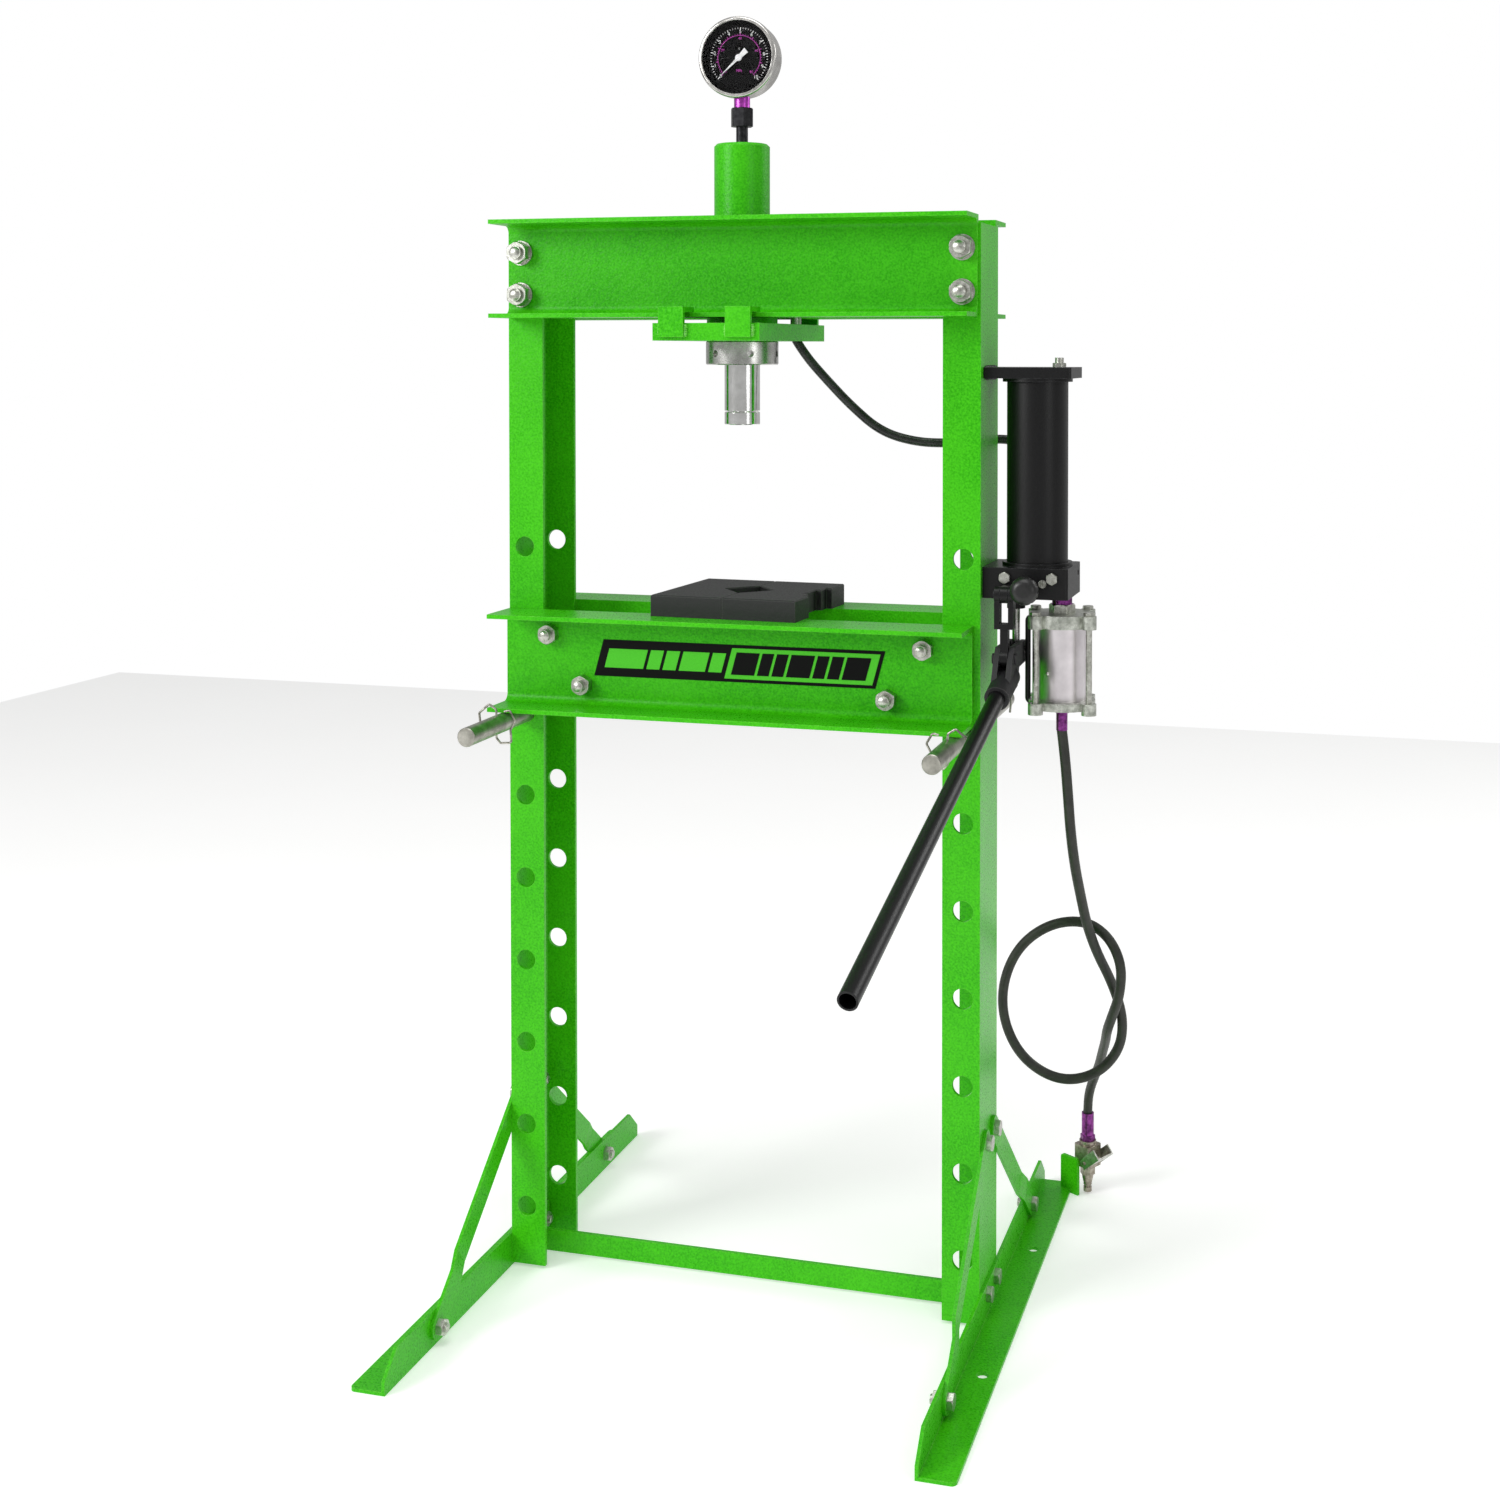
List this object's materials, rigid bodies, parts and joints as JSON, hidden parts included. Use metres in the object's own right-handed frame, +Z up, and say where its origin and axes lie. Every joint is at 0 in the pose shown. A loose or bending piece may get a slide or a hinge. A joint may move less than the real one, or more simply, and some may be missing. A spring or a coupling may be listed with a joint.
{
  "type": "hydraulic shop press",
  "caption": "H-frame shop press: channel columns on angle feet, pin-set bed with arbor plates, gauged hydraulic cylinder, side-mounted hand and air pump with hoses.",
  "frame": {"origin": "on the floor at the centre of the four anchor holes, midway between the columns", "axes": "+Z up, +X towards the pump's column, +Y to the rear"},
  "size_m": [0.7669, 0.9871, 1.504],
  "materials": {
    "green_paint": "gloss powder coat",
    "zinc_steel": "bright zinc plate",
    "bright_steel": "bright turned",
    "chrome": "hard chrome",
    "black_steel": "satin black paint",
    "black_cast": "black painted casting",
    "black_plastic": "matte",
    "black_rubber": "satin",
    "aluminium": "brushed",
    "black_oxide": "black oxide",
    "pink_zinc": "pink passivated",
    "spring_wire": "drawn wire",
    "cast_aluminium": "die cast",
    "dial_black": "enamel",
    "purple_zinc": "purple passivated",
    "nickel_brass": "nickel plated",
    "dial_white": "printed",
    "gauge_glass": "clear"
  },
  "bodies": {
    "frame": {"left_column": "green_paint", "right_column": "green_paint", "front_head_channel": "green_paint", "rear_head_channel": "green_paint", "head_bolts": "zinc_steel", "head_nuts": "zinc_steel", "left_foot": "green_paint", "right_foot": "green_paint", "left_foot_braces": "green_paint", "right_foot_braces": "green_paint", "base_bolts": "zinc_steel", "base_nuts": "zinc_steel", "cross_bar": "green_paint", "support_plate": "green_paint", "cylinder_tube": "green_paint", "gland_nut": "bright_steel", "return_spring": "spring_wire", "gauge_pipe": "black_oxide", "gauge_stem": "pink_zinc", "gauge_case": "chrome", "gauge_bezel": "chrome", "gauge_dial": "dial_black", "gauge_lens": "gauge_glass", "pump_bracket": "black_steel", "reservoir_tube": "black_steel", "pump_block": "black_steel", "filler_screw": "zinc_steel", "block_screws": "zinc_steel", "fulcrum_link": "black_steel", "motor_end_caps": "cast_aluminium", "motor_barrel": "aluminium", "motor_tie_rods": "zinc_steel", "motor_nipple": "purple_zinc", "hose_ferrules": "purple_zinc", "hydraulic_fittings": "zinc_steel", "hydraulic_hose": "black_rubber", "air_hose": "black_rubber", "air_valve": "nickel_brass"},
    "bed": {"front_bed_channel": "green_paint", "rear_bed_channel": "green_paint", "bed_tie_bolts": "zinc_steel", "bed_tie_nuts": "zinc_steel", "bed_spacer_tubes": "green_paint"},
    "left_plate": {"left_arbor_plate": "black_cast"},
    "right_plate": {"right_arbor_plate": "black_cast"},
    "left_pin": {"left_bed_pin": "bright_steel", "left_pin_clips": "spring_wire"},
    "right_pin": {"right_bed_pin": "bright_steel", "right_pin_clips": "spring_wire"},
    "ram": {"ram_rod": "chrome", "ram_piston": "bright_steel", "piston_seal": "black_plastic", "ram_saddle": "chrome"},
    "needle": {"gauge_needle": "dial_white"},
    "knob": {"release_knob": "black_plastic"},
    "lever": {"lever_socket": "black_cast", "pump_handle": "black_steel"},
    "plunger": {"pump_plunger": "bright_steel"},
    "air_piston": {"motor_piston": "aluminium"},
    "valve_trigger": {"valve_lever": "zinc_steel"}
  },
  "joints": [
    {"name": "bed_lift", "type": "slide", "parent": "frame", "child": "bed", "axis": [0, 0, 1], "range_m": [0, 0.04]},
    {"name": "left_plate_slide", "type": "slide", "parent": "bed", "child": "left_plate", "axis": [-0.9986, 0.0523, 0], "range_m": [0, 0.14]},
    {"name": "right_plate_slide", "type": "slide", "parent": "bed", "child": "right_plate", "axis": [0.9986, -0.0523, 0], "range_m": [0, 0.14]},
    {"name": "left_pin_play", "type": "slide", "parent": "frame", "child": "left_pin", "axis": [0, 1, 0], "range_m": [-0.012, 0.012]},
    {"name": "right_pin_play", "type": "slide", "parent": "frame", "child": "right_pin", "axis": [0, 1, 0], "range_m": [-0.012, 0.012]},
    {"name": "ram_stroke", "type": "slide", "parent": "frame", "child": "ram", "axis": [0, 0, -1], "range_m": [0, 0.15], "stiffness_N_per_m": 600, "springref_m": -0.25, "deforming": ["return_spring"]},
    {"name": "gauge_needle_turn", "type": "hinge", "parent": "frame", "child": "needle", "pos_m": [-0.01, 0, 1.456], "axis": [0, 1, 0], "range_deg": [0, 270], "stiffness_Nm_per_rad": 0.002},
    {"name": "release_knob_turn", "type": "hinge", "parent": "frame", "child": "knob", "pos_m": [0.345, -0.07, 0.845], "axis": [0, 1, 0], "range_deg": [0, 270]},
    {"name": "pump_lever", "type": "hinge", "parent": "frame", "child": "lever", "pos_m": [0.32, -0.058, 0.766], "axis": [1, 0, 0], "range_deg": [-22, 12]},
    {"name": "plunger_stroke", "type": "slide", "parent": "frame", "child": "plunger", "axis": [0, 0, 1], "range_m": [-0.026, 0.0145]},
    {"name": "air_piston_stroke", "type": "slide", "parent": "frame", "child": "air_piston", "axis": [0, 0, 1], "range_m": [0, 0.03], "stiffness_N_per_m": 400, "springref_m": -0.03},
    {"name": "valve_trigger_swing", "type": "hinge", "parent": "frame", "child": "valve_trigger", "pos_m": [0.35953, 0.32942, 0.045], "axis": [-0.515, -0.8572, 0], "range_deg": [0, 12], "stiffness_Nm_per_rad": 0.5, "springref_deg": -20.05}
  ],
  "couplings": [
    {"joint": "plunger_stroke", "follows": "pump_lever", "m_per_rad": 0.066}
  ]
}
